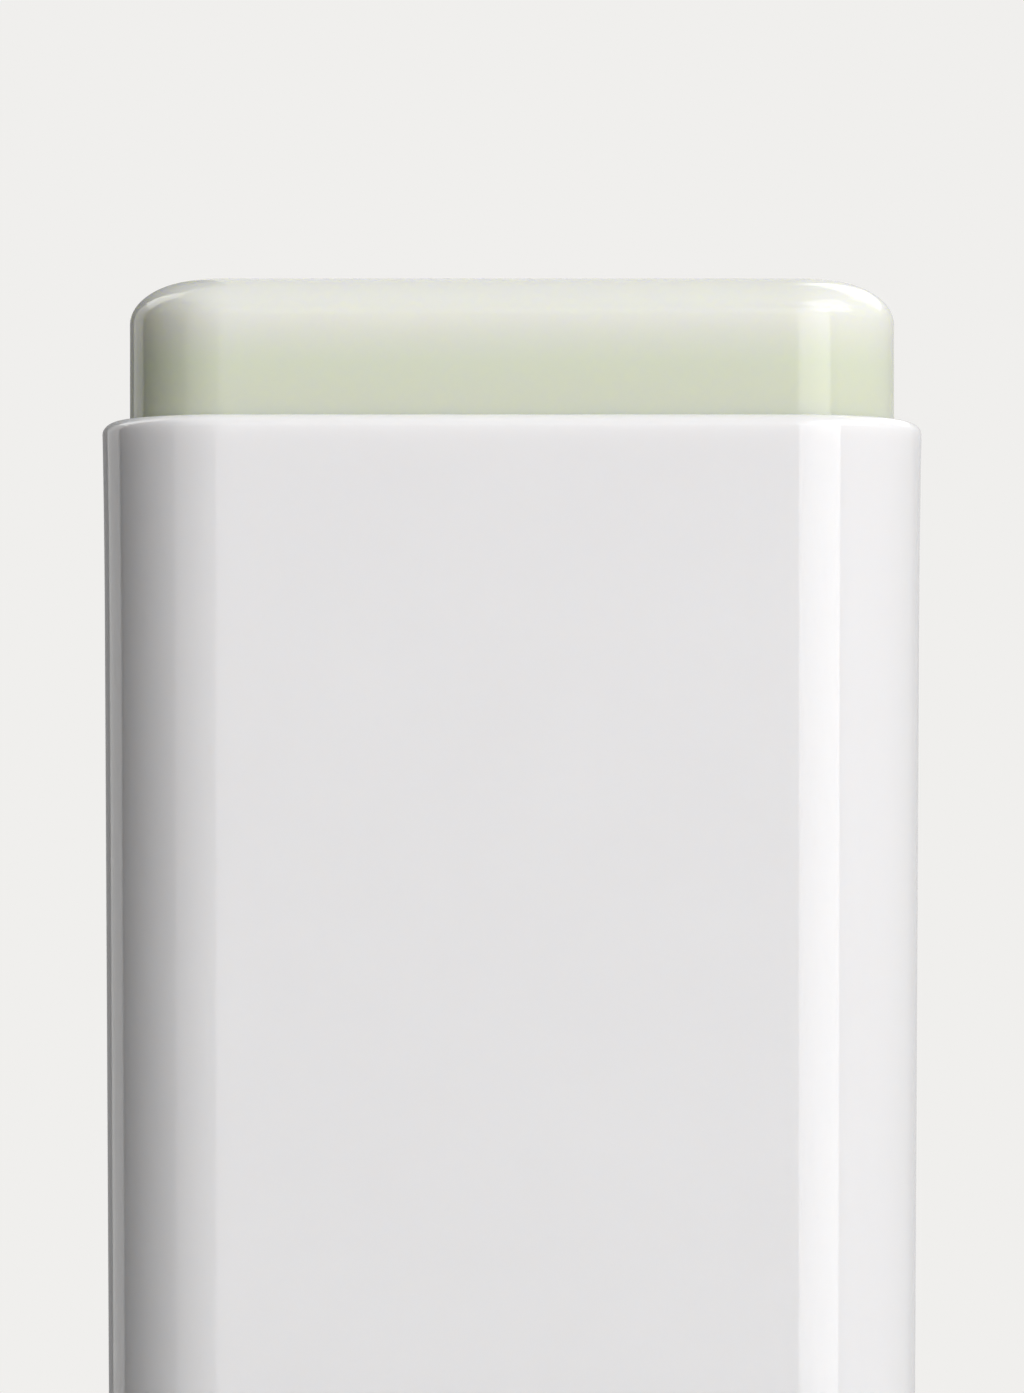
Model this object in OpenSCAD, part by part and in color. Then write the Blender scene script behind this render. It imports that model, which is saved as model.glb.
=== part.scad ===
// A flat twist-up sunscreen stick, open, with its bar of balm raised out of the mouth.
// Frame: +Z up, the front faces -Y, the origin is at the centre of the standing edge.
// A hand wheel in the base turns a screw, and the screw lifts a carrier that holds the bar.

/* [Case] */
// Width over the mouth
mouth_w = 42; // [40:0.5:46]
// Depth over the mouth
mouth_d = 21; // [20:0.5:24]
// Height from the standing edge to the rim
case_h = 72; // [66:1:80]
// Radius of the upright corners, at the mouth
corner_r = 6.6; // [6.2:0.1:7.4]
// Thickness of the wall at the rim
wall = 1.25; // [1.15:0.05:1.4]
// Draft of the outer faces, in degrees a side
draft = 0.3; // [0.1:0.05:0.35]
// How far the mouth flares out past the drafted faces, a side
flare = 0.08; // [0:0.02:0.1]
// Height of the flared stretch under the rim
flare_h = 10; // [6:1:12]
// Breadth of the flat crest between the rim's two roundings
rim_flat = 0.1; // [0.05:0.05:0.4]
// Height of the rounding along the rim's outer edge
rim_h = 0.65; // [0.4:0.05:0.9]
// Radius of the rim's inner edge
lip_r = 0.2; // [0.1:0.05:0.3]
// Radius of the standing edge
foot_r = 0.3; // [0.2:0.05:0.35]
// Thickness of the web across the case, over the dial
web_t = 1.4; // [1.2:0.1:2]
// Height of the hub under the web, which carries the screw
hub_h = 2; // [1.6:0.1:2.6]
// Thickness of the hub's wall
hub_wall = 1.8; // [1.4:0.1:2.4]

/* [Finger notches] */
// Width of the notches at the front and the back of the base
notch_w = 18; // [14:0.5:20]
// Radius of the notches' upper corners
notch_r = 3; // [2:0.25:4]

/* [Dial] */
// Height of the hand wheel
dial_h = 6.4; // [5.5:0.1:7]
// How far the wheel's ribs stand out of the notches
dial_proud = 0.1; // [0:0.05:0.2]
// Number of ribs round the wheel
rib_count = 40; // [28:2:48]
// Depth of the grooves between the ribs
rib_depth = 0.45; // [0.3:0.05:0.6]
// Thickness of the wheel's wall and of its top
dial_wall = 1.4; // [1.2:0.1:1.8]
// Thickness of the wall round the wheel's six-sided socket
socket_wall = 1.8; // [1.4:0.1:2.4]
// Thickness of the wheel's spokes
spoke_t = 1; // [0.8:0.1:1.4]

/* [Screw] */
// Lift for one turn
lead = 4; // [3.6:0.1:4.6]
// Radius of the screw over its thread
thread_r = 3.5; // [3.3:0.05:3.7]
// Radius of the screw's core
core_r = 2.4; // [2.2:0.05:2.6]
// Width of the thread halfway up its flanks
thread_w = 1.2; // [1:0.05:1.3]
// Radius of the journal that turns in the web
journal_r = 3.04; // [2.9:0.02:3.2]
// Width of the screw's six-sided key across its flats
key_w = 4.4; // [4:0.1:4.8]
// Height of the collar that rests on the web
collar_h = 1.4; // [1.2:0.1:1.8]
// How far the collar reaches out past the web's bore
collar_step = 1.5; // [1.2:0.1:2]
// Distance of the screw's tip below the rim
tip_below_rim = 8; // [6:0.5:12]
// Thickness of the seal ring's cord
ring_cord = 1; // [0.9:0.05:1.1]

/* [Carrier] */
// Thickness of the carrier's floor
floor_t = 1.6; // [1.4:0.1:2]
// Height of the guiding skirt under the floor
skirt_h = 6.4; // [6:0.1:8]
// Height of the cup wall that holds the foot of the bar
cup_h = 3.5; // [3:0.1:5]
// Thickness of the skirt and the cup wall
cup_wall = 0.9; // [0.8:0.05:1.1]
// Thickness of the nut boss's wall
boss_wall = 1.6; // [1.2:0.1:2]
// Width of each nut lug along the screw
lug_w = 1.4; // [1.2:0.05:1.5]
// Thickness of the stiffeners under the floor
stiffener_t = 1; // [0.8:0.1:1.4]
// Length of the fins that key the bar
fin_l = 7; // [5:0.5:9]
// Thickness of those fins
fin_t = 1; // [0.8:0.1:1.4]
// Distance of the fins from the middle of the carrier
fin_x = 12; // [10:0.5:13]

/* [Balm] */
// Height of the bar above the rim, as the stick rests
balm_out = 7.3; // [4:0.1:12]
// Depth of the bar's top below the rim when it is wound down
balm_down = 2; // [1:0.1:4]
// Height of the rounding along the bar's top edge
balm_edge_h = 2.3; // [1.5:0.1:3]
// Breadth of the rounding along the bar's top edge
balm_edge_w = 3.8; // [3:0.1:4.6]

/* [Clearances] */
// Running clearance of the screw in the web's bore, on the radius
journal_gap = 0.06; // [0.04:0.01:0.1]
// Clearance between the carrier and the case
carrier_gap = 0.2; // [0.15:0.01:0.3]
// Clearance between the bar and the case
balm_gap = 0.17; // [0.15:0.01:0.3]
// Clearance between the screw's thread and the nut's bore, on the radius
nut_gap = 0.15; // [0.1:0.01:0.25]
// Clearance between the screw's thread and the bar's bore, on the radius
bore_gap = 0.4; // [0.3:0.05:0.8]
// Clearance between the seal ring and the web's bore
ring_gap = 0.02; // [0.01:0.01:0.05]
// Height of the dial over the surface that the stick stands on
dial_lift = 0.6; // [0.4:0.1:1]
// Clearance of the notches over the dial
notch_gap = 0.6; // [0.4:0.1:1]
// Play of the web between the dial and the screw's collar, on each side
thrust_gap = 0.1; // [0.05:0.01:0.15]
// Push fit of the screw's key in the dial, a side
key_gap = 0.03; // [0.02:0.01:0.05]
// Clearance between the carrier and the web when it is wound down
stop_gap = 0.6; // [0.4:0.1:1]
// Room in the bar's bore over the screw's tip when it is wound down
tip_gap = 0.8; // [0.5:0.1:1.5]

/* [Hidden] */
$fn = 96;

// Upright axes of the four corners
axis_x = mouth_w / 2 - corner_r;
axis_y = mouth_d / 2 - corner_r;
// Radius of the case's bore round those axes
bore_r = corner_r - wall;
// Depth that one form runs into another where they are moulded as one
joined = 0.2;
// How far a cut runs past the face that it opens
past = 1;
// Steps along each small rounded edge, and along the flare
edge_steps = 6;

// Levels of the drive, from the ground up
dial_top = dial_lift + dial_h;
notch_h = dial_top + notch_gap;
hub_bottom = dial_top + thrust_gap;
web_bottom = hub_bottom + hub_h;
web_top = web_bottom + web_t;
collar_bottom = web_top + thrust_gap;
collar_top = collar_bottom + collar_h;
screw_top = case_h - tip_below_rim;
tip_chamfer = 0.6;
// Steps in a turn of the thread, and how far its flanks lean for each millimetre of height
thread_steps = 16;
flank_slope = 0.35;
// Plain core left at each end of the thread
thread_end = 1;
thread_bottom = collar_top + thread_end;
thread_top = screw_top - thread_end;

// Radii of the drive
hub_bore_r = journal_r + journal_gap;
hub_r = hub_bore_r + hub_wall;
collar_r = hub_bore_r + collar_step;
key_r = key_w / 2 / cos(30);
key_h = dial_h - dial_wall / 2;
dial_r = mouth_d / 2 - inset(dial_lift + dial_h / 2) + dial_proud;
groove_bed_r = dial_r - rib_depth;
// The spokes end halfway into the wheel's wall
spoke_reach = groove_bed_r - dial_wall / 2;
// The socket and the spokes stand back from the wheel's lower edge
socket_lift = 0.4;
spoke_lift = 2;
// Parts of one step round the wheel that are rib, flank and groove
rib_share = 0.42;
flank_share = 0.18;
groove_share = 0.22;

// The seal ring lies in a groove of the journal and all but fills it
ring_r = hub_bore_r - ring_gap - ring_cord / 2;
ring_z = hub_bottom + (web_top - hub_bottom) / 2;
groove_play = 0.03;
groove_r = ring_r - ring_cord / 2 - groove_play;
groove_w = 1.3 * ring_cord;

// The carrier, with the stick at rest and wound down
carrier_r = bore_r - carrier_gap;
nut_r = thread_r + nut_gap;
boss_r = nut_r + boss_wall;
lug_r = core_r + nut_gap;
lug_arc = 50;
lowest_skirt = web_top + stop_gap;
lowest_boss = collar_top + stop_gap;
raised = balm_out + balm_down;
skirt_bottom = lowest_skirt + raised;
floor_bottom = skirt_bottom + skirt_h;
floor_top = floor_bottom + floor_t;
cup_top = floor_top + cup_h;
boss_bottom = lowest_boss + raised;
// Middle of the lower lug, above the boss's lower end
lug_up = 1.5;
lug_z = boss_bottom + lug_up;
// The fins end below the cup's edge, and the stiffeners above the boss's end
fin_h = 0.8 * cup_h;
stiffener_up = 1;
stiffener_bottom = boss_bottom + stiffener_up;

// The bar
balm_r = bore_r - balm_gap;
balm_top = case_h + balm_out;
balm_bore_r = thread_r + bore_gap;
balm_bore_top = screw_top + raised + tip_gap;

// The rounding along the rim's outer edge takes what the crest and the inner edge leave of the wall
rim_w = wall - inset(case_h - rim_h) - lip_r - rim_flat;

// Distance of the case's outer face in from the mouth, at a height
function inset(z) =
    let (t = max(0, (z - case_h + flare_h) / flare_h))
    (case_h - z) * tan(draft) + flare * (1 - t * t);

// Points of an arc round c from angle a to angle b
function arc(c, r, a, b) =
    [for (i = [0:edge_steps]) let (v = a + (b - a) * i / edge_steps) c + r * [cos(v), sin(v)]];

// Points of a quarter ellipse, w broad and h high, that rounds the outer top edge at p
function rounded_edge(p, w, h) =
    [for (i = [0:2 * edge_steps])
        let (v = 45 * i / edge_steps)
        p - [w * (1 - cos(v)), h * (1 - sin(v))]];

// Section of the case's wall: x is the distance from a corner's axis, y the height
function wall_section() = concat(
    [[bore_r, 0]],
    arc([corner_r - inset(0) - foot_r, foot_r], foot_r, -90, 0),
    [for (i = [0:edge_steps])
        let (z = case_h - flare_h + (flare_h - rim_h) * i / edge_steps)
        if (i < edge_steps) [corner_r - inset(z), z]],
    rounded_edge([corner_r - inset(case_h - rim_h), case_h], rim_w, rim_h),
    arc([bore_r + lip_r, case_h - lip_r], lip_r, 90, 180));

// Section of the bar, with its foot in the carrier's cup and a quarter ellipse along its top edge
function balm_section() = concat(
    [[0, floor_top], [carrier_r - cup_wall, floor_top], [carrier_r - cup_wall, cup_top], [balm_r, cup_top]],
    rounded_edge([balm_r, balm_top], balm_edge_w, balm_edge_h),
    [[0, balm_top]]);

// Place of a corner's axis, counted round from the back right one
function corner(k) = [(k == 0 || k == 3 ? 1 : -1) * axis_x, (k < 2 ? 1 : -1) * axis_y, 0];

// Carries a section round the rounded rectangle of the case
module round_the_case() {
    for (k = [0:3]) {
        run = 2 * (k % 2 == 0 ? axis_x : axis_y);
        translate(corner(k))
            rotate(90 * k)
                rotate_extrude(angle = 90)
                    children();
        translate(corner(k))
            rotate(90 * (k + 1))
                translate([0, run, 0])
                    rotate([90, 0, 0])
                        linear_extrude(run)
                            children();
    }
}

// A plate with the case's outline at radius r, from height z up
module plate(r, z, h) {
    round_the_case()
        translate([0, z])
            square([r, h]);
    translate([-axis_x, -axis_y, z])
        cube([2 * axis_x, 2 * axis_y, h]);
}

// Outline of a finger notch, seen from the front
module notch_outline() {
    half = notch_w / 2;
    polygon(concat(
        [[-half, -past], [half, -past]],
        arc([half - notch_r, notch_h - notch_r], notch_r, 0, 90),
        arc([notch_r - half, notch_h - notch_r], notch_r, 90, 180)));
}

module case() {
    color("#f4f3f3")
        difference() {
            union() {
                round_the_case()
                    polygon(wall_section());
                plate(bore_r + joined, web_bottom, web_t);
                translate([0, 0, hub_bottom])
                    cylinder(r = hub_r, h = hub_h + joined);
            }
            translate([0, 0, hub_bottom - past])
                cylinder(r = hub_bore_r, h = hub_h + web_t + 2 * past);
            for (side = [0, 180])
                rotate(side)
                    translate([0, -mouth_d / 2 + 2 * wall, 0])
                        rotate([90, 0, 0])
                            linear_extrude(3 * wall)
                                notch_outline();
        }
}

// Outline of the hand wheel, with a flat-topped rib and a groove by turns
module wheel_outline() {
    step = 360 / rib_count;
    groove = rib_share + flank_share;
    corners = [
        [0, dial_r],
        [rib_share, dial_r],
        [groove, groove_bed_r],
        [groove + groove_share, groove_bed_r]];
    polygon([for (i = [0:rib_count - 1])
        for (c = corners)
            let (angle = (i + c[0]) * step)
            c[1] * [cos(angle), sin(angle)]]);
}

module dial() {
    color("#f4f3f3")
        difference() {
            union() {
                difference() {
                    translate([0, 0, dial_lift])
                        linear_extrude(dial_h)
                            wheel_outline();
                    translate([0, 0, dial_lift - past])
                        cylinder(r = groove_bed_r - dial_wall, h = dial_h - dial_wall + past);
                }
                translate([0, 0, dial_lift + socket_lift])
                    cylinder(r = key_r + socket_wall, h = dial_h - socket_lift - dial_wall / 2);
                for (a = [0:60:179])
                    rotate(a)
                        translate([-spoke_reach, -spoke_t / 2, dial_lift + spoke_lift])
                            cube([2 * spoke_reach, spoke_t, dial_h - spoke_lift - dial_wall / 2]);
            }
            translate([0, 0, dial_lift - past])
                cylinder(r = key_r + key_gap / cos(30), h = dial_h + 2 * past, $fn = 6);
        }
}

// Section of the screw's thread, from inside the core to the crest: radius and half width
function thread_section() =
    let (root = core_r - joined, lean = flank_slope * (thread_r - root) / 2)
    [[root, thread_w / 2 + lean], [thread_r, thread_w / 2 - lean]];

// A left-hand thread as one closed band: four points at each step, walls between steps and two end caps.
// It passes half a turn above the lower lug, so that both lugs lie midway between turns.
module thread() {
    s = thread_section();
    ring = [[s[0][0], -s[0][1]], [s[1][0], -s[1][1]], [s[1][0], s[1][1]], [s[0][0], s[0][1]]];
    rise = lead / thread_steps;
    middle = lug_z + lead / 2;
    below = floor((middle - thread_bottom - s[0][1]) / rise);
    above = floor((thread_top - middle - s[0][1]) / rise);
    last = below + above;
    points = [for (i = [-below:above])
        let (angle = -360 * i / thread_steps)
        for (p = ring)
            [p[0] * cos(angle), p[0] * sin(angle), middle + i * rise + p[1]]];
    walls = [for (i = [0:last - 1], j = [0:3])
        let (k = (j + 1) % 4)
        [4 * i + j, 4 * i + 4 + j, 4 * i + 4 + k, 4 * i + k]];
    polyhedron(points, concat([[0, 1, 2, 3]], walls, [[for (j = [3:-1:0]) 4 * last + j]]));
}

module lead_screw() {
    color("#e9e8e2") {
        rotate_extrude()
            polygon([
                [0, dial_top],
                [journal_r, dial_top],
                [journal_r, ring_z - groove_w / 2],
                [groove_r, ring_z - groove_w / 2],
                [groove_r, ring_z + groove_w / 2],
                [journal_r, ring_z + groove_w / 2],
                [journal_r, collar_bottom],
                [collar_r, collar_bottom],
                [collar_r, collar_top],
                [core_r, collar_top],
                [core_r, screw_top - tip_chamfer],
                [core_r - tip_chamfer, screw_top],
                [0, screw_top]]);
        translate([0, 0, dial_top - key_h])
            cylinder(r = key_r, h = key_h + joined, $fn = 6);
        thread();
    }
}

module o_ring() {
    color("#3a3c3e")
        translate([0, 0, ring_z])
            rotate_extrude()
                translate([ring_r, 0])
                    circle(d = ring_cord);
}

// Fins that stand on the carrier's floor and key the bar to it
module grip_fins() {
    for (side = [-1, 1])
        translate([side * fin_x - fin_l / 2, -fin_t / 2, floor_top - joined])
            cube([fin_l, fin_t, fin_h + joined]);
}

// A stiffener from skirt to skirt under the carrier's floor, where the corner axes lie at out
module stiffener(out, angle) {
    reach = out + carrier_r - cup_wall / 2;
    rotate(angle)
        translate([-reach, -stiffener_t / 2, stiffener_bottom])
            cube([2 * reach, stiffener_t, floor_bottom - stiffener_bottom + joined]);
}

// A short lug that follows the groove between two turns of the thread
module nut_lug(angle, z) {
    rotate(angle - lug_arc / 2)
        rotate_extrude(angle = lug_arc)
            translate([lug_r, z - lug_w / 2])
                square([nut_r + joined - lug_r, lug_w]);
}

module carrier() {
    color("#e9e8e2") {
        difference() {
            union() {
                round_the_case()
                    translate([carrier_r - cup_wall, skirt_bottom])
                        square([cup_wall, cup_top - skirt_bottom]);
                plate(carrier_r - cup_wall / 2, floor_bottom, floor_t);
                translate([0, 0, boss_bottom])
                    cylinder(r = boss_r, h = floor_bottom - boss_bottom + joined);
                stiffener(axis_x, 0);
                stiffener(axis_y, 90);
                grip_fins();
            }
            translate([0, 0, boss_bottom - past])
                cylinder(r = nut_r, h = floor_top - boss_bottom + 2 * past);
        }
        nut_lug(0, lug_z);
        nut_lug(180, lug_z + lead / 2);
    }
}

module balm() {
    color("#d3d9c4")
        difference() {
            union() {
                round_the_case()
                    polygon(balm_section());
                translate([-axis_x, -axis_y, floor_top])
                    cube([2 * axis_x, 2 * axis_y, balm_top - floor_top]);
            }
            translate([0, 0, floor_top - past])
                cylinder(r = balm_bore_r, h = balm_bore_top - floor_top + past);
            grip_fins();
        }
}

case();
dial();
lead_screw();
o_ring();
carrier();
balm();
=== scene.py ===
"""A flat twist-up sunscreen stick: glossy white case, hand wheel in its base, pale green bar of balm."""

import math

import bpy
import numpy as np
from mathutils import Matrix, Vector


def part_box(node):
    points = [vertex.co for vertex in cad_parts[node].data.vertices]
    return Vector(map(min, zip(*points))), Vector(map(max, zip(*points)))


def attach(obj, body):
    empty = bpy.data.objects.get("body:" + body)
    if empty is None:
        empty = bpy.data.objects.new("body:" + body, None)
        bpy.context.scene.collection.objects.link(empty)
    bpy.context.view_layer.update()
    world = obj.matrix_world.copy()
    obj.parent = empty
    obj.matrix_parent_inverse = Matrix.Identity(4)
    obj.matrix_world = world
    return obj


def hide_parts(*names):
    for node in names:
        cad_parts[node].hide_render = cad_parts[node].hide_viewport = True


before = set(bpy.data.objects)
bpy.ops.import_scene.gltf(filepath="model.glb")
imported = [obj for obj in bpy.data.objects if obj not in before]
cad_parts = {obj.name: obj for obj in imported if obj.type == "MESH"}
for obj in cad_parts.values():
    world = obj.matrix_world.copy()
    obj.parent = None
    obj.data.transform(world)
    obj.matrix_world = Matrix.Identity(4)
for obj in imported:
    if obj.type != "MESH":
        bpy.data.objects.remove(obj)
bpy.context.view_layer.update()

MM = 0.001


# Sizes in millimetres, taken from the frame's boxes where they show there


def box_mm(node):
    """Lowest and highest corner of a CAD node, in millimetres."""
    lo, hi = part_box(node)
    return np.array(lo) / MM, np.array(hi) / MM


CASE_LO, CASE_HI = box_mm("case")
BALM_LO, BALM_HI = box_mm("balm")
DIAL_LO, DIAL_HI = box_mm("dial")
CARRIER_HI = box_mm("carrier")[1]

CASE_H = CASE_HI[2]
CORNER_R = 6.6
WALL = 1.25
BORE_R = CORNER_R - WALL
DRAFT = math.radians(0.3)
FLARE = 0.08
FLARE_H = 10.0
# Breadth and height of the rim's outer rounding, and radius of its inner one
RIM_W, RIM_H = 0.93, 0.65
LIP_R = 0.2
FOOT_R = 0.3

DIAL_BOTTOM, DIAL_TOP = DIAL_LO[2], DIAL_HI[2]
DIAL_R = DIAL_HI[0]
DIAL_WALL = 1.4
DIAL_EDGE_R = 0.35
DIAL_CHAMFER = 0.15
RIB_COUNT = 40
RIB_DEPTH = 0.45
KEY_FLATS = 4.46
SOCKET_WALL = 1.8
SOCKET_LIFT = 0.4
SPOKE_COUNT = 6
SPOKE_T = 1.0
SPOKE_LIFT = 2.0
# How far a spoke runs into the socket, the wheel's wall and its floor
SPOKE_JOINED = 0.3

NOTCH_W, NOTCH_R = 18.0, 3.0
NOTCH_GAP = 0.6
NOTCH_H = DIAL_TOP + NOTCH_GAP
NOTCH_SPRING = NOTCH_H - NOTCH_R
# From this height up the rows of the wall are level, and below it they bend to the notches' arches
LEVEL_Z = 10.0

THRUST_GAP = 0.1
HUB_H = 2.0
HUB_WALL = 1.8
HUB_BORE_R = 3.1
HUB_R = HUB_BORE_R + HUB_WALL
HUB_BOTTOM = DIAL_TOP + THRUST_GAP
WEB_T = 1.4
WEB_BOTTOM = HUB_BOTTOM + HUB_H
WEB_TOP = WEB_BOTTOM + WEB_T

BALM_BOTTOM, BALM_TOP = BALM_LO[2], BALM_HI[2]
BALM_EDGE_W, BALM_EDGE_H = 3.8, 2.3
BALM_CROWN = 0.05
BALM_BORE_R = 3.9
# Wound down, the bar's top is below the rim, and its bore still clears the tip of the screw
BALM_DOWN = 2.0
SCREW_TIP_BELOW_RIM = 8.0
TIP_GAP = 0.8
BALM_BORE_TOP = BALM_TOP + BALM_DOWN - SCREW_TIP_BELOW_RIM + TIP_GAP
CUP_TOP = CARRIER_HI[2]
CUP_WALL = 0.9


def case_inset(z):
    """How far the outer face stands in from the mouth at height z.

    That is the depth below the rim times the draft's tangent, plus the flare times 1 minus the
    square of t, where t goes from 0 at the flare's foot to 1 at the rim.
    """
    t = np.clip((z - CASE_H + FLARE_H) / FLARE_H, 0, 1)
    return (CASE_H - z) * math.tan(DRAFT) + FLARE * (1 - t**2)


# The case is broadest where the rounding of its rim begins
RIM_R = CORNER_R - case_inset(CASE_H - RIM_H)
AXIS_X = CASE_HI[0] - RIM_R
AXIS_Y = CASE_HI[1] - RIM_R
BALM_R = BALM_HI[1] - AXIS_Y
CUP_INNER_R = CARRIER_HI[1] - AXIS_Y - CUP_WALL


# Meshes

# Faces that meet at more than this angle keep a sharp edge
SHARP = math.radians(40)


def quads(ids):
    """Four-sided faces between the neighbours in a grid of vertex numbers."""
    return np.stack([ids[:-1, :-1], ids[1:, :-1], ids[1:, 1:], ids[:-1, 1:]], -1).reshape(-1, 4)


def closed(ids, axis):
    """The same grid with its first row or column repeated at its end."""
    return np.concatenate([ids, np.take(ids, [0], axis)], axis)


def numbers(rows, columns, first=0):
    """Vertex numbers of a grid, row by row."""
    return first + np.arange(rows * columns).reshape(rows, columns)


def volume(points, faces):
    """Signed volume inside the faces: the sum over fan triangles of a . (b x c) / 6."""
    total = 0.0
    for f in faces:
        a = points[f[:, 0]]
        for k in range(1, f.shape[1] - 1):
            total += np.einsum("ij,ij->", a, np.cross(points[f[:, k]], points[f[:, k + 1]]))
    return total / 6


def without_loose_points(points, faces):
    """The same surface without the points that no face uses."""
    used = np.unique(np.concatenate([f.ravel() for f in faces]))
    number = np.zeros(len(points), int)
    number[used] = np.arange(len(used))
    return points[used], [number[f] for f in faces]


def mesh_object(name, points, faces, material):
    """An object at the origin, from points in metres and a list of face arrays."""
    mesh = bpy.data.meshes.new(name)
    mesh.from_pydata(points.tolist(), [], [row for f in faces for row in f.tolist()])
    mesh.materials.append(material)
    made = bpy.data.objects.new(name, mesh)
    bpy.context.scene.collection.objects.link(made)
    return made


def make_piece(name, points, faces, material, body, slot, replaced):
    """A piece of the stick from points in millimetres, turned outwards and shaded smooth."""
    if volume(points, faces) < 0:
        faces = [f[:, ::-1] for f in faces]
    piece = mesh_object(name, points * MM, faces, material)
    piece.data.polygons.foreach_set("use_smooth", np.ones(len(piece.data.polygons), bool))
    piece.data.set_sharp_from_angle(angle=SHARP)
    piece.data.update()
    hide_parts(replaced)
    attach(piece, body)


def ring_columns(front_x, corner_steps, side_steps):
    """Columns round the case's outline, each an axis point and an outward direction.

    A point at radius r is the axis point plus r times the direction. On a straight side the axis
    point slides and the direction stays, and round a corner the axis point stays and the direction turns.
    """
    side_y = np.linspace(-AXIS_Y, AXIS_Y, side_steps + 1)[1:-1]
    axis, turn = [], []
    for k in range(4):
        run = (front_x, side_y, -front_x, -side_y)[k]
        flat = -90 + 90 * k
        sign_x = (1, 1, -1, -1)[k]
        sign_y = (-1, 1, 1, -1)[k]
        if k % 2 == 0:
            axis += [(x, AXIS_Y * (k - 1)) for x in run]
        else:
            axis += [(AXIS_X * (2 - k), y) for y in run]
        turn += [flat] * len(run)
        bend = np.linspace(0, 90, corner_steps + 1)
        bend = bend[1:] if k % 2 == 0 else bend[:-1]
        axis += [(AXIS_X * sign_x, AXIS_Y * sign_y)] * len(bend)
        turn += list(flat + bend)
    turn = np.radians(np.array(turn, float))
    return np.array(axis, float), np.stack([np.cos(turn), np.sin(turn)], -1)


def place(axis, way, r, z, toward=0.0, circle_r=0.0, shrink=1.0):
    """A row of points round the outline at height z: axis point plus r times direction.

    The row is 1 minus toward times those points, plus toward times a circle of radius circle_r at
    the angles of the case's bore, and all of it times shrink, which draws it in to the middle.
    """
    plan = axis + np.broadcast_to(r, len(axis))[:, None] * way
    bore = axis + BORE_R * way
    angle = np.arctan2(bore[:, 1], bore[:, 0])
    circle = circle_r * np.stack([np.cos(angle), np.sin(angle)], -1)
    plan = shrink * ((1 - toward) * plan + toward * circle)
    return np.column_stack([plan, np.broadcast_to(z, len(axis))])


def round_row(r, angle, z):
    """A row of points round the upright axis: r times the angle's cosine and sine, at height z."""
    return np.column_stack([r * np.cos(angle), r * np.sin(angle), np.full(len(angle), z)])


def notch_height(x):
    """Height of a finger notch's edge at x.

    That is the spring of the arch plus the root of its radius squared less the square of the
    way past its flat middle, so the middle is flat and a quarter circle leads to each side.
    """
    over = np.clip(np.abs(x) - (NOTCH_W / 2 - NOTCH_R), 0, NOTCH_R)
    return NOTCH_SPRING + np.sqrt(NOTCH_R**2 - over**2)


def case_columns():
    """Columns round the case, closest together on a notch's arches and beside the corners.

    Between a notch and a corner, a column's way from the corner is the whole way times t to the
    power 1.6, where t goes from 0 to 1 in even steps.
    """
    half = NOTCH_W / 2
    arch_x = half - NOTCH_R + NOTCH_R * np.cos(np.linspace(0, math.pi / 2, 9))
    mid_x = np.linspace(0, half - NOTCH_R, 7)[:-1]
    out_x = AXIS_X - (AXIS_X - half) * np.linspace(0, 1, 12) ** 1.6
    right = np.concatenate([mid_x, arch_x[::-1], out_x[::-1][1:-1]])
    return ring_columns(np.concatenate([-right[::-1], right[1:]]), corner_steps=44, side_steps=10)


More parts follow.
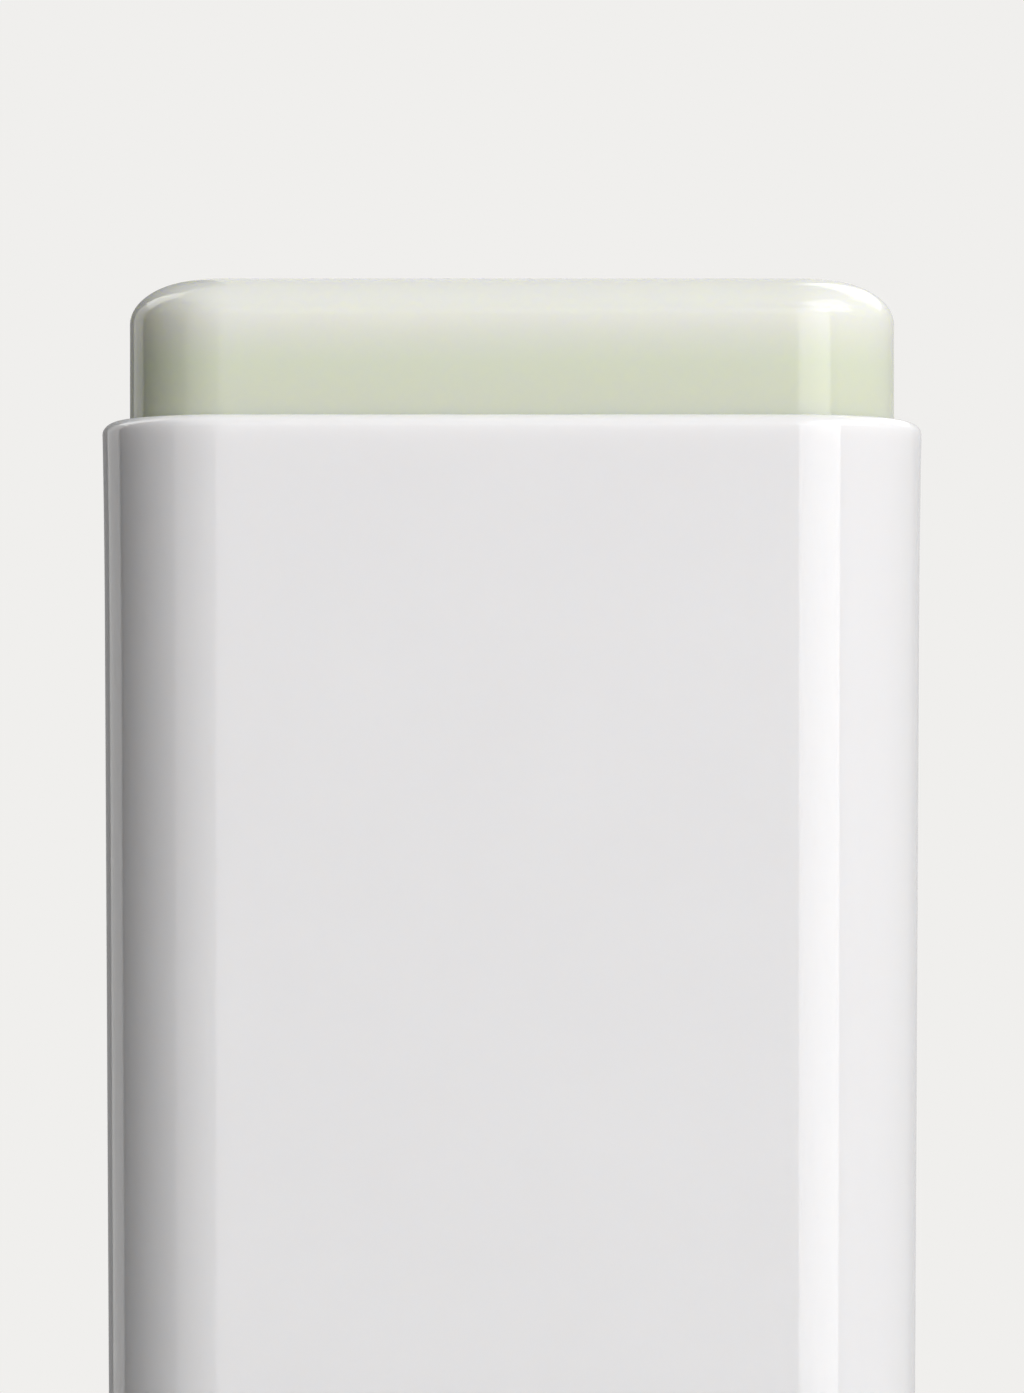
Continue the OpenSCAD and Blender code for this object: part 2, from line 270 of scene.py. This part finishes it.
def case_mesh():
    """The case as one closed skin: outer wall, rim, bore, web, hub, and the foot with its two notches.

    A section of radius and height is carried round the outline. Its outer wall is the corner radius
    less case_inset, its rim a quarter ellipse, its lip and foot quarter circles. Below the spring of
    the notches' arches the skin has only the two ends of the case, each closed by a flat face at the
    notch's upright sides.
    """
    axis, way = case_columns()
    in_notch = (np.abs(way[:, 0]) < 1e-6) & (np.abs(axis[:, 0]) <= NOTCH_W / 2 + 1e-6)
    low = np.where(in_notch, notch_height(axis[:, 0]), NOTCH_SPRING)

    # Up the outer wall from the arches, over the rim and down the bore to the web
    wall_z = [low + (LEVEL_Z - low) * t for t in np.linspace(0, 1, 7)[:-1]]
    wall_z += list(np.linspace(LEVEL_Z, CASE_H - FLARE_H, 30)[:-1])
    wall_z += list(np.linspace(CASE_H - FLARE_H, CASE_H - RIM_H, 26)[:-1])
    section = [(CORNER_R - case_inset(z), z) for z in wall_z]
    section += [(RIM_R - RIM_W * (1 - math.cos(v)), CASE_H - RIM_H * (1 - math.sin(v)))
                for v in np.linspace(0, math.pi / 2, 17)]
    section += [(BORE_R + LIP_R * (1 + math.cos(v)), CASE_H - LIP_R * (1 - math.sin(v)))
                for v in np.linspace(math.pi / 2, math.pi, 8)]
    section += [(BORE_R, z) for z in np.linspace(CASE_H - LIP_R, WEB_TOP, 10)[1:]]
    rows = [place(axis, way, r, z) for r, z in section]
    # In over the web, down the hub's bore, and out again under the hub and the web
    web = [(WEB_TOP, 0.5, HUB_BORE_R), (WEB_TOP, 1, HUB_BORE_R), (HUB_BOTTOM, 1, HUB_BORE_R),
           (HUB_BOTTOM, 1, HUB_R), (WEB_BOTTOM, 1, HUB_R), (WEB_BOTTOM, 0.5, HUB_R)]
    rows += [place(axis, way, BORE_R, z, toward, circle_r) for z, toward, circle_r in web]
    # Down the bore under the web to the arches
    rows += [place(axis, way, BORE_R, WEB_BOTTOM + (low - WEB_BOTTOM) * t) for t in np.linspace(0, 1, 4)]
    upper = np.array(rows)

    # Round the foot of each end, from the bore to the outer wall
    foot = [(BORE_R, NOTCH_SPRING / 2), (BORE_R, 0.0)]
    outer = CORNER_R - case_inset(0.0)
    foot += [(outer - FOOT_R * (1 - math.sin(v)), FOOT_R * (1 - math.cos(v)))
             for v in np.linspace(0, math.pi / 2, 7)]
    foot += [(CORNER_R - case_inset(z), z) for z in np.linspace(FOOT_R, NOTCH_SPRING, 5)[1:-1]]
    lower = np.array([place(axis, way, r, z) for r, z in foot])

    columns = len(axis)
    ids = numbers(len(upper), columns)
    foot_ids = numbers(len(lower), columns, ids.size)
    ring = closed(ids, 1)
    loop = np.concatenate([ids[-1:], foot_ids, ids[:1]])
    wide = closed(loop, 1)
    arch = in_notch & np.roll(in_notch, -1)
    over, ends = np.nonzero(arch)[0], np.nonzero(~arch)[0]
    first = np.nonzero(in_notch & ~np.roll(in_notch, 1))[0]
    last = np.nonzero(in_notch & ~np.roll(in_notch, -1))[0]
    foot_faces = np.stack([wide[:-1][:, ends], wide[1:][:, ends],
                           wide[1:][:, ends + 1], wide[:-1][:, ends + 1]], -1)
    faces = [
        quads(ring),
        np.stack([ring[-1, over], ring[0, over], ring[0, over + 1], ring[-1, over + 1]], -1),
        foot_faces.reshape(-1, 4),
        loop[:, first].T[:, ::-1],
        loop[:, last].T]
    return without_loose_points(np.concatenate([upper.reshape(-1, 3), lower.reshape(-1, 3)]), faces)


def balm_mesh():
    """The bar as one closed skin: its bore, its foot over the cup, its sides and its top.

    Its top edge is a quarter ellipse, and its top stands lower by the crown times the square of the
    share of the way out from the middle, as wax that set in a mould.
    """
    front_x = AXIS_X * np.sin(np.linspace(-math.pi / 2, math.pi / 2, 71))
    axis, way = ring_columns(front_x, corner_steps=40, side_steps=20)
    side_top = BALM_TOP - BALM_EDGE_H
    # Down the bore, out under the foot, and over the cup's wall
    rows = [place(axis, way, 0, BALM_BORE_TOP, 1, BALM_BORE_R * t) for t in (0.5, 1)]
    rows += [place(axis, way, 0, z, 1, BALM_BORE_R) for z in (CUP_TOP, BALM_BOTTOM)]
    rows += [place(axis, way, CUP_INNER_R, BALM_BOTTOM, t, BALM_BORE_R) for t in (0.5, 0)]
    rows += [place(axis, way, r, CUP_TOP) for r in (CUP_INNER_R, BALM_R)]
    # Up the sides, over the rounded edge and in to the middle
    rows += [place(axis, way, BALM_R, z) for z in np.linspace(CUP_TOP, side_top, 46)[1:-1]]
    rows += [place(axis, way, BALM_R - BALM_EDGE_W * (1 - math.cos(v)),
                   side_top + (BALM_EDGE_H - BALM_CROWN) * math.sin(v))
             for v in np.linspace(0, math.pi / 2, 33)]
    rows += [place(axis, way, BALM_R - BALM_EDGE_W, BALM_TOP - BALM_CROWN * t**2, shrink=t)
             for t in np.linspace(1, 0, 25)[1:-1]]

    columns = len(axis)
    ring = closed(numbers(len(rows), columns), 1)
    bore_pole = len(rows) * columns
    top_pole = bore_pole + 1
    faces = [
        quads(ring),
        np.stack([ring[0, :-1], ring[0, 1:], np.full(columns, bore_pole)], -1),
        np.stack([ring[-1, 1:], ring[-1, :-1], np.full(columns, top_pole)], -1)]
    return np.concatenate(rows + [[[0, 0, BALM_BORE_TOP], [0, 0, BALM_TOP]]]), faces


def smooth_step(a):
    """3 a squared less 2 a cubed, with a held between 0 and 1."""
    a = np.clip(a, 0, 1)
    return a * a * (3 - 2 * a)


def wheel_mesh():
    """The hand wheel: a section carried round, with a six-sided socket on six spokes.

    A point of the ribbed wall stands in by the rib depth times a groove, which is one smooth step up
    times one smooth step down over the share of the way from one rib to the next.
    """
    steps = 14 * RIB_COUNT
    angle = np.arange(steps) * 2 * math.pi / steps
    share = (angle * RIB_COUNT / (2 * math.pi)) % 1
    groove_from, groove_to, flank = 0.40, 1.02, 0.22
    groove = smooth_step((share - groove_from) / flank) * smooth_step((groove_to - share) / flank)
    hexagon = KEY_FLATS / 2 / np.cos((angle + math.pi / 6) % (math.pi / 3) - math.pi / 6)
    bend = np.linspace(0, math.pi / 2, 6)
    inner = DIAL_R - RIB_DEPTH - DIAL_WALL
    boss = KEY_FLATS / 2 / math.cos(math.pi / 6) + SOCKET_WALL
    socket_bottom = DIAL_BOTTOM + SOCKET_LIFT
    floor = DIAL_TOP - DIAL_WALL

    # Up the ribbed wall, in over the top, down the socket, and out under it and the floor
    wall = [(DIAL_R - DIAL_EDGE_R * (1 - math.sin(v)), DIAL_BOTTOM + DIAL_EDGE_R * (1 - math.cos(v)))
            for v in bend]
    wall += [(DIAL_R - DIAL_EDGE_R * (1 - math.cos(v)), DIAL_TOP - DIAL_EDGE_R * (1 - math.sin(v)))
             for v in bend]
    rows = [round_row(r - RIB_DEPTH * groove, angle, z) for r, z in wall]
    rows += [round_row(r, angle, z) for r, z in (
        (boss, DIAL_TOP),
        (hexagon, DIAL_TOP),
        (hexagon, socket_bottom),
        (boss - DIAL_CHAMFER, socket_bottom),
        (boss, socket_bottom + DIAL_CHAMFER),
        (boss, floor),
        (inner, floor),
        (inner, DIAL_BOTTOM + DIAL_CHAMFER),
        (inner + DIAL_CHAMFER, DIAL_BOTTOM))]
    ids = numbers(len(rows), len(angle))
    points, faces = [np.concatenate(rows)], [quads(closed(closed(ids, 1), 0))]

    # Each spoke is a box from the socket to the wall, hung under the floor
    corners = np.array([[x, y, z] for x in (0, 1) for y in (-1, 1) for z in (0, 1)], float)
    sides = np.array([[0, 1, 3, 2], [4, 6, 7, 5], [0, 4, 5, 1], [2, 3, 7, 6], [0, 2, 6, 4], [1, 5, 7, 3]])
    spoke_bottom = DIAL_BOTTOM + SPOKE_LIFT
    r = boss - SPOKE_JOINED + (inner - boss + 2 * SPOKE_JOINED) * corners[:, 0]
    y = SPOKE_T / 2 * corners[:, 1]
    z = spoke_bottom + (floor + SPOKE_JOINED - spoke_bottom) * corners[:, 2]
    for k in range(SPOKE_COUNT):
        a = 2 * math.pi * k / SPOKE_COUNT
        faces.append(sides + ids.size + len(corners) * k)
        cos, sin = math.cos(a), math.sin(a)
        points.append(np.column_stack([r * cos - y * sin, r * sin + y * cos, z]))
    return np.concatenate(points), faces


# Materials


def linear(code):
    """A colour written as sRGB hex, turned to linear red, green, blue and alpha."""
    values = [int(code[i:i + 2], 16) / 255 for i in (1, 3, 5)]
    return tuple(v / 12.92 if v <= 0.04045 else ((v + 0.055) / 1.055) ** 2.4 for v in values) + (1.0,)


def add_node(tree, kind, settings=None, links=None):
    """A node with its settings, by attribute or input name, and links into its inputs.

    The setting called stops gives a colour ramp its positions and hex colours.
    """
    node = tree.nodes.new(kind)
    for key, value in (settings or {}).items():
        if key == "stops":
            band = node.color_ramp.elements
            while len(band) < len(value):
                band.new(1)
            for element, (position, code) in zip(band, value):
                element.position = position
                element.color = linear(code)
        elif isinstance(key, str) and hasattr(node, key):
            setattr(node, key, value)
        else:
            node.inputs[key].default_value = value
    for key, source in (links or {}).items():
        tree.links.new(source, node.inputs[key])
    return node


def new_material(name):
    """An empty node material and its tree."""
    material = bpy.data.materials.new(name)
    material.use_nodes = True
    material.node_tree.nodes.clear()
    return material, material.node_tree


def glossy_white_abs():
    """White ABS from a polished mould: a clear gloss, over a body that light enters by about 1 mm."""
    material, tree = new_material("glossy_white_abs")
    coordinates = add_node(tree, "ShaderNodeTexCoord").outputs["Object"]
    # Flow of the melt leaves tone and gloss a little uneven over some 11 mm, about the case's half depth
    flow_size = 11 * MM
    flow = add_node(tree, "ShaderNodeTexNoise", {"Scale": 1 / flow_size, "Detail": 2.0},
                    {"Vector": coordinates}).outputs["Fac"]
    tone = add_node(tree, "ShaderNodeValToRGB", {"stops": [(0.3, "#F1EFF0"), (0.7, "#F3F1F2")]},
                    {"Fac": flow})
    sheen = add_node(tree, "ShaderNodeMapRange", {"To Min": 0.03, "To Max": 0.06}, {"Value": flow})
    # Sink marks five walls across bend the reflections by less than can be felt
    sink_size = 5 * WALL * MM
    sink = add_node(tree, "ShaderNodeTexNoise", {"Scale": 1 / sink_size, "Detail": 1.0},
                    {"Vector": coordinates})
    bump = add_node(tree, "ShaderNodeBump", {"Strength": 0.02, "Distance": 0.0002},
                    {"Height": sink.outputs["Fac"]})
    shader = add_node(tree, "ShaderNodeBsdfPrincipled", {
        "IOR": 1.5,
        "Subsurface Weight": 1.0,
        "Subsurface Radius": (1.0, 0.95, 0.9),
        "Subsurface Scale": 0.0012,
    }, {
        "Base Color": tone.outputs["Color"],
        "Roughness": sheen.outputs["Result"],
        "Normal": bump.outputs["Normal"],
    })
    add_node(tree, "ShaderNodeOutputMaterial", links={"Surface": shader.outputs["BSDF"]})
    return material


def cast_balm_wax():
    """Pale green wax balm, as cast: a soft sheen, and light that runs some millimetres into it."""
    material, tree = new_material("cast_balm_wax")
    coordinates = add_node(tree, "ShaderNodeTexCoord").outputs["Object"]
    # The wax's pale green is its own colour. Its paling towards the top, over its upper 8 mm, is painted
    # light from above, and the darker, greener part below is painted shade from the case
    painted_light_h = 8
    height = add_node(tree, "ShaderNodeSeparateXYZ", links={"Vector": coordinates})
    up = add_node(tree, "ShaderNodeMapRange", {
        "From Min": (BALM_TOP - painted_light_h) * MM, "From Max": BALM_TOP * MM}, {"Value": height.outputs["Z"]})
    # Painted light and shade: pale near the top, darker and greener further down
    tone = add_node(tree, "ShaderNodeValToRGB", {"stops": [
        (0.0, "#D6DBC4"), (0.19, "#D8DCC8"), (0.42, "#DCE1CE"), (0.68, "#E7E8E2"), (1.0, "#E8E9E3"),
    ]}, {"Fac": up.outputs["Result"]})
    # Wax crystals are near 0.1 mm, too fine to show, so their grain is drawn 2 mm coarse
    grain_size = 2 * MM
    grain = add_node(tree, "ShaderNodeTexNoise", {"Scale": 1 / grain_size, "Detail": 3.0},
                     {"Vector": coordinates}).outputs["Fac"]
    sheen = add_node(tree, "ShaderNodeMapRange", {"To Min": 0.07, "To Max": 0.12}, {"Value": grain})
    bump = add_node(tree, "ShaderNodeBump", {"Strength": 0.06, "Distance": 0.0001}, {"Height": grain})
    shader = add_node(tree, "ShaderNodeBsdfPrincipled", {
        "IOR": 1.45,
        "Subsurface Weight": 1.0,
        "Subsurface Radius": (1.0, 0.95, 0.5),
        "Subsurface Scale": 0.003,
    }, {
        "Base Color": tone.outputs["Color"],
        "Roughness": sheen.outputs["Result"],
        "Normal": bump.outputs["Normal"],
    })
    add_node(tree, "ShaderNodeOutputMaterial", links={"Surface": shader.outputs["BSDF"]})
    return material


def natural_pom():
    """Uncoloured POM as moulded: milky white with a dull slip to it."""
    material, tree = new_material("natural_pom")
    coordinates = add_node(tree, "ShaderNodeTexCoord").outputs["Object"]
    # The spark-eroded mould's grain is near 0.03 mm, too fine to show, so it is drawn 0.7 mm coarse
    grain_size = 0.7 * MM
    grain = add_node(tree, "ShaderNodeTexNoise", {"Scale": 1 / grain_size, "Detail": 3.0},
                     {"Vector": coordinates}).outputs["Fac"]
    tone = add_node(tree, "ShaderNodeValToRGB", {"stops": [(0.3, "#E6E5DE"), (0.7, "#ECEBE5")]},
                    {"Fac": grain})
    sheen = add_node(tree, "ShaderNodeMapRange", {"To Min": 0.32, "To Max": 0.45}, {"Value": grain})
    shader = add_node(tree, "ShaderNodeBsdfPrincipled", {
        "IOR": 1.48,
        "Subsurface Weight": 0.3,
        "Subsurface Radius": (1.0, 0.95, 0.85),
        "Subsurface Scale": 0.001,
    }, {"Base Color": tone.outputs["Color"], "Roughness": sheen.outputs["Result"]})
    add_node(tree, "ShaderNodeOutputMaterial", links={"Surface": shader.outputs["BSDF"]})
    return material


def seal_rubber():
    """Black nitrile rubber, moulded: matt, with a faint bloom."""
    material, tree = new_material("seal_rubber")
    coordinates = add_node(tree, "ShaderNodeTexCoord").outputs["Object"]
    # Patches of bloom about as broad as the ring's cord
    bloom_size = 1 * MM
    bloom = add_node(tree, "ShaderNodeTexNoise", {"Scale": 1 / bloom_size, "Detail": 4.0},
                     {"Vector": coordinates}).outputs["Fac"]
    tone = add_node(tree, "ShaderNodeValToRGB", {"stops": [(0.3, "#2B2C2E"), (0.75, "#3A3B3D")]},
                    {"Fac": bloom})
    shader = add_node(tree, "ShaderNodeBsdfPrincipled", {"IOR": 1.52, "Roughness": 0.6},
                      {"Base Color": tone.outputs["Color"]})
    add_node(tree, "ShaderNodeOutputMaterial", links={"Surface": shader.outputs["BSDF"]})
    return material


# The stick


WHITE = glossy_white_abs()
BALM = cast_balm_wax()
POM = natural_pom()
RUBBER = seal_rubber()

make_piece("case_shell", *case_mesh(), WHITE, "case", "white_abs", "case")
make_piece("balm_bar", *balm_mesh(), BALM, "carrier", "balm_wax", "balm")
make_piece("hand_wheel", *wheel_mesh(), WHITE, "dial", "white_abs", "dial")

for node, material in (("lead_screw", POM), ("carrier", POM), ("o_ring", RUBBER)):
    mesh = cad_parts[node].data
    mesh.materials.clear()
    mesh.materials.append(material)


# Stage, in metres. Azimuth 0 is the camera's side, and azimuths grow to the right


BACKGROUND = "#F0EFED"
# What the table sends back up to the stick, darker than it looks to the camera
TABLE_BOUNCE = "#ACABA9"
FILL_LIGHT = "#FFFEFC"
TABLE_R = 0.24
# The table takes half of the stick's shadow up to the near distance, and none from the far one out
SHADOW_NEAR, SHADOW_FAR = 0.03, 0.20
CARD_R = 0.30
STRIP_DISTANCE = 0.75
STRIP_LOW, STRIP_HIGH = -0.06, 0.68
AIM = Vector((0, 0, 0.045))


def seen_or_mirrored(tree):
    """1 for the rays that see the backdrop: camera, glossy and transmission rays. 0 for the rest."""
    path = add_node(tree, "ShaderNodeLightPath")
    either = add_node(tree, "ShaderNodeMath", {"operation": "MAXIMUM"},
                      {0: path.outputs["Is Camera Ray"], 1: path.outputs["Is Glossy Ray"]})
    return add_node(tree, "ShaderNodeMath", {"operation": "MAXIMUM"},
                    {0: either.outputs[0], 1: path.outputs["Is Transmission Ray"]}).outputs[0]


def make_table():
    """A pale round table top, which glows in the backdrop's colour by a smooth step of the distance."""
    material, tree = new_material("table_paper")
    coordinates = add_node(tree, "ShaderNodeTexCoord").outputs["Object"]
    seen = seen_or_mirrored(tree)
    distance = add_node(tree, "ShaderNodeVectorMath", {"operation": "LENGTH"}, {0: coordinates})
    away = add_node(tree, "ShaderNodeMapRange", {
        "interpolation_type": "SMOOTHSTEP",
        "From Min": SHADOW_NEAR,
        "From Max": SHADOW_FAR,
        "To Min": 0.5,
        "To Max": 1.0,
    }, {"Value": distance.outputs["Value"]})
    share = add_node(tree, "ShaderNodeMath", {"operation": "MULTIPLY"},
                     {0: away.outputs["Result"], 1: seen})
    tone = add_node(tree, "ShaderNodeMix", {
        "data_type": "RGBA", 6: linear(TABLE_BOUNCE), 7: linear(BACKGROUND)}, {0: seen})
    paper = add_node(tree, "ShaderNodeBsdfDiffuse", links={"Color": tone.outputs[2]})
    glow = add_node(tree, "ShaderNodeEmission", {"Color": linear(BACKGROUND)})
    mix = add_node(tree, "ShaderNodeMixShader", links={
        "Fac": share.outputs[0], 1: paper.outputs[0], 2: glow.outputs[0]})
    add_node(tree, "ShaderNodeOutputMaterial", links={"Surface": mix.outputs[0]})
    turn = np.linspace(0, 2 * math.pi, 96, endpoint=False)
    mesh_object("table_top", round_row(TABLE_R, turn, 0.0), [numbers(1, len(turn))], material)


def make_card(name, azimuth_from, azimuth_to, low, high, code):
    """An upright card bent round the stick at the cards' radius, which the camera doesn't see."""
    material, tree = new_material(name)
    face = add_node(tree, "ShaderNodeEmission", {"Color": linear(code)})
    add_node(tree, "ShaderNodeOutputMaterial", links={"Surface": face.outputs[0]})
    turn = np.radians(np.linspace(azimuth_from, azimuth_to, 25) - 90)
    rows = [round_row(CARD_R, turn, z) for z in (low, high)]
    card = mesh_object(name, np.concatenate(rows), [quads(numbers(2, len(turn)))], material)
    card.visible_camera = False


def make_softbox(name, azimuth, elevation, distance, width, height, radiance, aim):
    """A soft box turned to its aim. Its power is its radiance times pi times its area."""
    lamp = bpy.data.lights.new(name, "AREA")
    lamp.shape = "RECTANGLE"
    lamp.size, lamp.size_y = width, height
    lamp.energy = radiance * math.pi * width * height
    box = bpy.data.objects.new(name, lamp)
    a, e = math.radians(azimuth), math.radians(elevation)
    away = Vector((math.sin(a) * math.cos(e), -math.cos(a) * math.cos(e), math.sin(e)))
    box.location = aim + distance * away
    box.rotation_euler = away.to_track_quat("Z", "Y").to_euler()
    box.visible_camera = False
    bpy.context.scene.collection.objects.link(box)


def make_strip(name, azimuth_from, azimuth_to, radiance):
    """An upright strip light between two azimuths.

    Its width is twice its distance times the tangent of half the angle between them.
    """
    azimuth, half = (azimuth_from + azimuth_to) / 2, math.radians(azimuth_to - azimuth_from) / 2
    width = 2 * STRIP_DISTANCE * math.tan(half)
    middle = Vector((0, 0, (STRIP_LOW + STRIP_HIGH) / 2))
    make_softbox(name, azimuth, 0, STRIP_DISTANCE, width, STRIP_HIGH - STRIP_LOW, radiance, middle)


def make_world():
    """The backdrop's colour for what is seen or mirrored, and a dimmer pale light for the rest."""
    world = bpy.data.worlds.new("studio")
    bpy.context.scene.world = world
    world.use_nodes = True
    tree = world.node_tree
    tree.nodes.clear()
    fill = add_node(tree, "ShaderNodeBackground", {"Color": linear(FILL_LIGHT), "Strength": 0.02})
    seen = add_node(tree, "ShaderNodeBackground", {"Color": linear(BACKGROUND)})
    mix = add_node(tree, "ShaderNodeMixShader", links={
        "Fac": seen_or_mirrored(tree), 1: fill.outputs[0], 2: seen.outputs[0]})
    add_node(tree, "ShaderNodeOutputWorld", links={"Surface": mix.outputs[0]})


def make_camera(distance, below_rim):
    """A level camera in front of the case, with the frame shifted up as the photo's is."""
    lens = bpy.data.cameras.new("camera")
    lens.lens = 154.5
    lens.sensor_width = 36
    lens.shift_y = 0.1339
    camera = bpy.data.objects.new("camera", lens)
    camera.location = (0, (CASE_LO[1] - distance) * MM, (CASE_H - below_rim) * MM)
    camera.rotation_euler = (math.pi / 2, 0, 0)
    bpy.context.scene.collection.objects.link(camera)
    bpy.context.scene.camera = camera


make_table()
make_world()
make_card("black_flag_left", -50, -114, -0.25, 0.50, "#080808")
make_card("grey_card_behind_left", -141, -172, -0.10, 0.50, "#9A9A9A")
make_card("grey_card_behind_right", 130, 172, -0.10, 0.17, "#D8D8D8")
make_strip("front_strip", -12, 5.5, 0.95)
make_strip("key_strip", 5.5, 41, 3.13)
make_strip("side_strip", 42, 60, 0.24)
make_strip("edge_strip_left", 218, 242, 0.27)
make_softbox("upper_side_softbox", 51, 46, 1.20, 0.90, 0.90, 3.55, AIM)
make_softbox("back_left_softbox", -130, 45, 0.60, 0.30, 0.30, 1.5, AIM)
make_softbox("back_softbox", 145, 40, 0.60, 0.40, 0.30, 1.5, AIM)
make_camera(distance=300, below_rim=23.6)
bpy.context.scene.view_settings.view_transform = "Standard"
